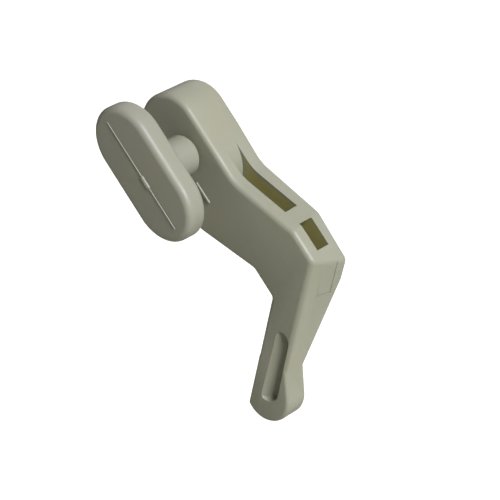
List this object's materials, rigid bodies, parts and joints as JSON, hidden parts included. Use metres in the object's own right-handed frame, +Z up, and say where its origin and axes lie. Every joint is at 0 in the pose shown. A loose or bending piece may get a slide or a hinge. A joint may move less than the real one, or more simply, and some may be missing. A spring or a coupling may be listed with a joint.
{
  "type": "stair gate latch",
  "caption": "Cranked thumb lever on the spindle of a T-shaped hook head, which turns to latch a child's stair gate.",
  "frame": {"origin": "on the spindle's axis, in the plane of the T-shaped head's back face, which bears on the gate's slotted plate", "axes": "+Z up, +Y along the spindle from the head to the lever, +X towards the side on which the handle hangs"},
  "size_m": [0.0522, 0.0286, 0.0751],
  "materials": {
    "lever_plastic": "satin moulded nylon, warm greenish ivory",
    "plug_plastic": "satin moulded nylon, warm greenish ivory",
    "head_plastic": "satin moulded nylon, warm greenish ivory",
    "washer_steel": "zinc-plated steel",
    "screw_steel": "zinc-plated steel"
  },
  "bodies": {
    "head": {"t_head": "head_plastic", "retaining_washer": "washer_steel", "retaining_screw": "screw_steel"},
    "lever": {"lever_arm": "lever_plastic", "handle_plug": "plug_plastic"}
  },
  "joints": [
    {"name": "lever_pivot", "type": "hinge", "parent": "head", "child": "lever", "pos_m": [0, 0.015, 0], "axis": [0, 1, 0], "range_deg": [-90, 0]}
  ]
}
